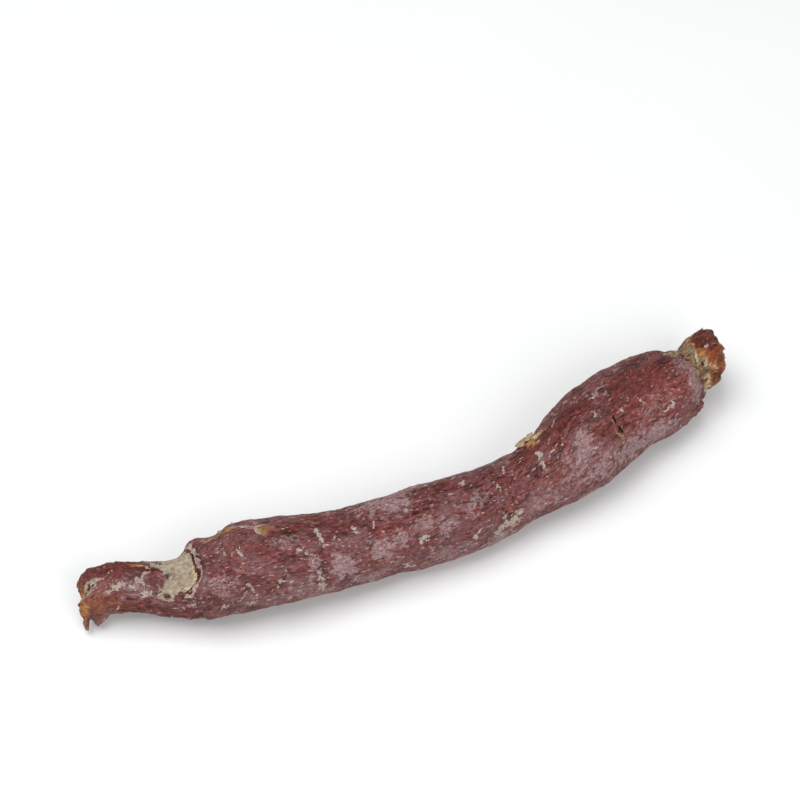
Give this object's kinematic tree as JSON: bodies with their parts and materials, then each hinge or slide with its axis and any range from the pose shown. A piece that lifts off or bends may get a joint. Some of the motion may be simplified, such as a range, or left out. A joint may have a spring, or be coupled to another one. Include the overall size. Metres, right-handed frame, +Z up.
{
  "type": "red ginseng root",
  "caption": "Steamed and dried ginseng root lying on its side: a curved, wrinkled red-brown body with a thin torn end and an amber bud stump.",
  "frame": {"origin": "centre of the root's box in plan, on the surface that it lies on", "axes": "+X along the root from the thin torn end to the bud end, +Z up, the bend of the root towards -Y"},
  "size_m": [0.151, 0.031, 0.0203],
  "materials": {
    "dried_root": "dry, hard, dusty red-brown root skin with fine lengthwise wrinkles, pale bloom and corky scars, amber and slightly translucent at both broken ends"
  },
  "bodies": {
    "root": {"ginseng_root": "dried_root"}
  },
  "joints": []
}
